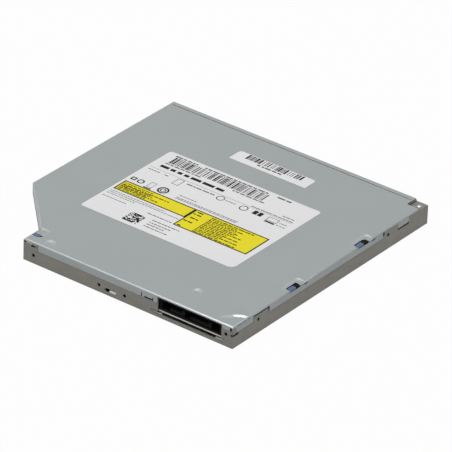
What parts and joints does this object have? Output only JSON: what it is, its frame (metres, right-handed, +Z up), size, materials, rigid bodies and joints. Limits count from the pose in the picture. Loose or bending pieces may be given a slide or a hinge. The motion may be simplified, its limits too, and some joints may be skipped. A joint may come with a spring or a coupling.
{
  "type": "slim optical disc drive",
  "caption": "Flat tray-load disc drive for a portable computer, with a stepped sheet steel case, a rear socket and a sliding disc tray, shown without its front bezel.",
  "frame": {"origin": "middle of the case's bounding box in plan, on its underside", "axes": "+Z up through the top cover, the tray comes out towards -Y, the rear connector faces +Y, +X is the raised wing's side"},
  "size_m": [0.128, 0.1262, 0.0095],
  "materials": {
    "cover_steel": "zinc-coated sheet, satin",
    "chassis_steel": "zinc-coated sheet, satin",
    "rail_steel": "bright rolled steel",
    "bright_steel": "polished steel",
    "dark_steel": "dark plated steel",
    "cast_zinc": "cast zinc, matte",
    "black_plastic": "fine grained black plastic",
    "connector_plastic": "black moulded plastic",
    "blue_plastic": "blue self-lubricating plastic",
    "white_plastic": "natural white plastic",
    "switch_grey": "grey plastic",
    "rubber": "soft black rubber",
    "board_green": "solder mask over glass epoxy",
    "stator_copper": "copper windings on a laminated core",
    "cable_film": "flat flexible cable film",
    "label_paper": "white printed film",
    "lamp_plastic": "clear green light pipe",
    "lens_glass": "coated glass"
  },
  "bodies": {
    "case": {"bottom_chassis": "chassis_steel", "top_cover": "cover_steel", "cover_label": "label_paper", "small_label": "label_paper", "tab_rivet": "bright_steel", "left_guide": "blue_plastic", "right_guide": "blue_plastic", "guide_screw_1": "dark_steel", "guide_screw_2": "dark_steel", "guide_screw_3": "dark_steel", "guide_screw_4": "dark_steel", "lock_post": "bright_steel", "main_board": "board_green", "board_screw_1": "dark_steel", "board_screw_2": "dark_steel", "board_screw_3": "dark_steel", "controller_chip": "connector_plastic", "motor_driver_chip": "connector_plastic", "cable_socket": "white_plastic", "sata_connector": "connector_plastic", "tray_cable": "cable_film", "ejector_spring": "bright_steel"},
    "tray": {"tray_frame": "black_plastic", "tray_bottom_cover": "rail_steel", "tray_cover_screw_1": "dark_steel", "tray_cover_screw_2": "dark_steel", "tray_cover_screw_3": "dark_steel", "traverse_frame": "rail_steel", "traverse_cover": "cover_steel", "damper_1": "rubber", "damper_2": "rubber", "damper_3": "rubber", "damper_screw_1": "dark_steel", "damper_screw_2": "dark_steel", "damper_screw_3": "dark_steel", "guide_rod_left": "bright_steel", "guide_rod_right": "bright_steel", "feed_motor": "cast_zinc", "spindle_base": "rail_steel", "spindle_stator": "stator_copper", "front_board": "board_green", "eject_switch": "switch_grey", "busy_lamp": "lamp_plastic", "lock_magnet": "cast_zinc"},
    "left_slide": {"left_rail": "rail_steel"},
    "right_slide": {"right_rail": "rail_steel"},
    "ejector": {"ejector_pusher": "white_plastic"},
    "feed_screw": {"lead_screw": "bright_steel"},
    "spindle": {"spindle_rotor": "bright_steel", "turntable": "black_plastic", "turntable_pad": "rubber"},
    "claw_a": {"claw_1": "switch_grey"},
    "claw_b": {"claw_2": "switch_grey"},
    "claw_c": {"claw_3": "switch_grey"},
    "pickup": {"pickup_body": "cast_zinc", "rack_follower": "white_plastic"},
    "lens": {"lens_holder": "black_plastic", "objective_lens": "lens_glass"},
    "eject_key": {"eject_plunger": "white_plastic"},
    "lock": {"lock_lever": "bright_steel"}
  },
  "joints": [
    {"name": "tray_slide", "type": "slide", "parent": "case", "child": "tray", "axis": [0, -1, 0], "range_m": [0, 0.122], "deforming": ["tray_cable"]},
    {"name": "left_rail_slide", "type": "slide", "parent": "case", "child": "left_slide", "axis": [0, -1, 0], "range_m": [0, 0.061]},
    {"name": "right_rail_slide", "type": "slide", "parent": "case", "child": "right_slide", "axis": [0, -1, 0], "range_m": [0, 0.061]},
    {"name": "ejector_slide", "type": "slide", "parent": "case", "child": "ejector", "axis": [0, -1, 0], "range_m": [0, 0.008], "deforming": ["ejector_spring"]},
    {"name": "spindle_spin", "type": "hinge", "parent": "tray", "child": "spindle", "pos_m": [0, 0.0003, 0.0021], "axis": [0, 0, 1], "continuous": true},
    {"name": "claw_1_slide", "type": "slide", "parent": "spindle", "child": "claw_a", "axis": [0, -1, 0], "range_m": [0, 0.0005], "stiffness_N_per_m": 150},
    {"name": "claw_2_slide", "type": "slide", "parent": "spindle", "child": "claw_b", "axis": [0.866, 0.5, 0], "range_m": [0, 0.0005], "stiffness_N_per_m": 150},
    {"name": "claw_3_slide", "type": "slide", "parent": "spindle", "child": "claw_c", "axis": [-0.866, 0.5, 0], "range_m": [0, 0.0005], "stiffness_N_per_m": 150},
    {"name": "pickup_feed", "type": "slide", "parent": "tray", "child": "pickup", "axis": [0, -1, 0], "range_m": [0, 0.0315]},
    {"name": "lead_screw_turn", "type": "hinge", "parent": "tray", "child": "feed_screw", "pos_m": [0.0242, -0.0509, 0.003], "axis": [0, 1, 0], "range_deg": [0, 3780]},
    {"name": "lens_focus", "type": "slide", "parent": "pickup", "child": "lens", "axis": [0, 0, 1], "range_m": [-0.0004, 0.0004], "stiffness_N_per_m": 40},
    {"name": "eject_press", "type": "slide", "parent": "tray", "child": "eject_key", "axis": [0, 1, 0], "range_m": [0, 0.0003], "stiffness_N_per_m": 600},
    {"name": "lock_turn", "type": "hinge", "parent": "tray", "child": "lock", "pos_m": [-0.044, -0.055, 0.00215], "axis": [0, 0, 1], "range_deg": [-10, 0]}
  ],
  "couplings": [
    {"joint": "left_rail_slide", "follows": "tray_slide", "ratio": 0.5},
    {"joint": "right_rail_slide", "follows": "tray_slide", "ratio": 0.5},
    {"joint": "ejector_slide", "follows": "tray_slide", "ratio": 0.0655},
    {"joint": "lead_screw_turn", "follows": "pickup_feed", "rad_per_m": 2094.4}
  ]
}
